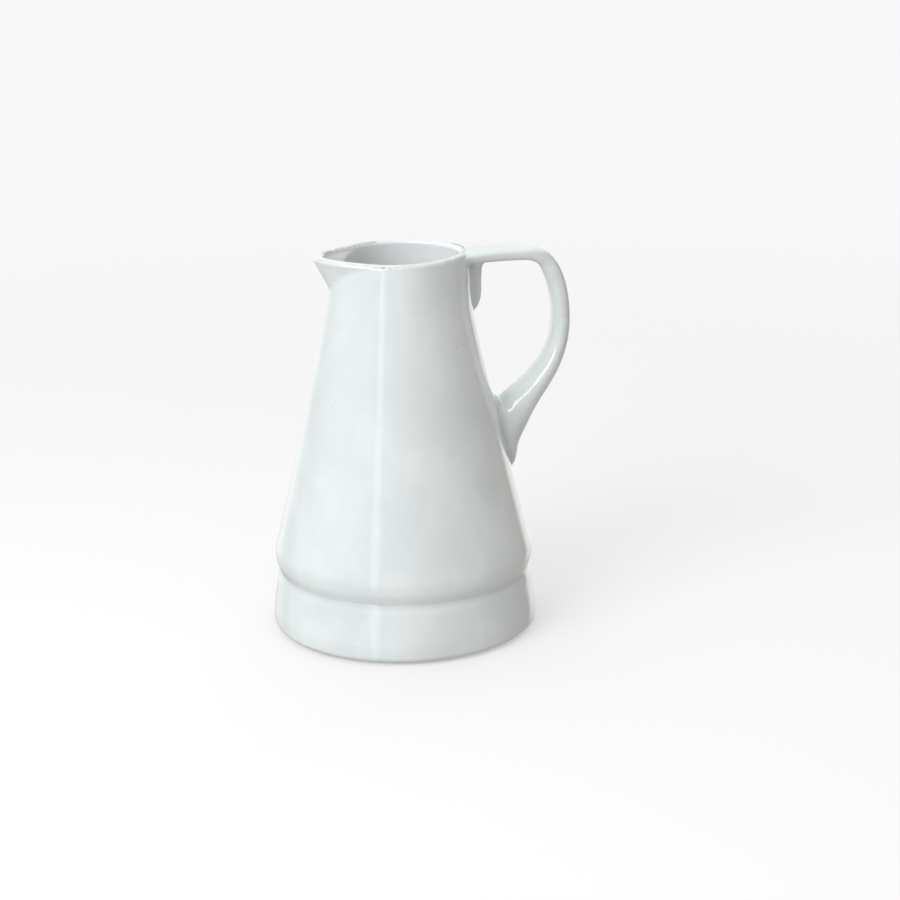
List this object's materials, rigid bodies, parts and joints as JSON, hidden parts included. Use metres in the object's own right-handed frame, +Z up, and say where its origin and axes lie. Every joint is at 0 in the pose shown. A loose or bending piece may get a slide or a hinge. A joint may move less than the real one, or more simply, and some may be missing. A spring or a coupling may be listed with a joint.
{
  "type": "ceramic pitcher",
  "caption": "Tall conical glazed ceramic pitcher on a stepped base band, with a pulled beak and a strap handle that leaves the rim level and returns in a flared root.",
  "frame": {"origin": "on the body's own axis, on the plane that the foot ring stands on", "axes": "+Z up along the body's axis, +X towards the handle, -X towards the beak, +Y to the left of someone who holds the handle and pours away from themselves"},
  "size_m": [0.1929, 0.168, 0.2406],
  "materials": {
    "glaze": "glossy cool white glaze",
    "glaze_beak": "glossy cool white glaze",
    "glaze_base": "glossy cool white glaze",
    "glaze_floor": "glossy cool white glaze",
    "glaze_strap": "glossy cool white glaze",
    "glaze_lug": "glossy cool white glaze",
    "glaze_root": "glossy cool white glaze",
    "bare_clay": "matt unglazed clay"
  },
  "bodies": {
    "root": {"upper_wall": "glaze", "beak": "glaze_beak", "base_band": "glaze_base", "floor_disc": "glaze_floor", "foot_ring": "bare_clay", "handle_strap": "glaze_strap", "handle_lug": "glaze_lug", "handle_root": "glaze_root"}
  },
  "joints": []
}
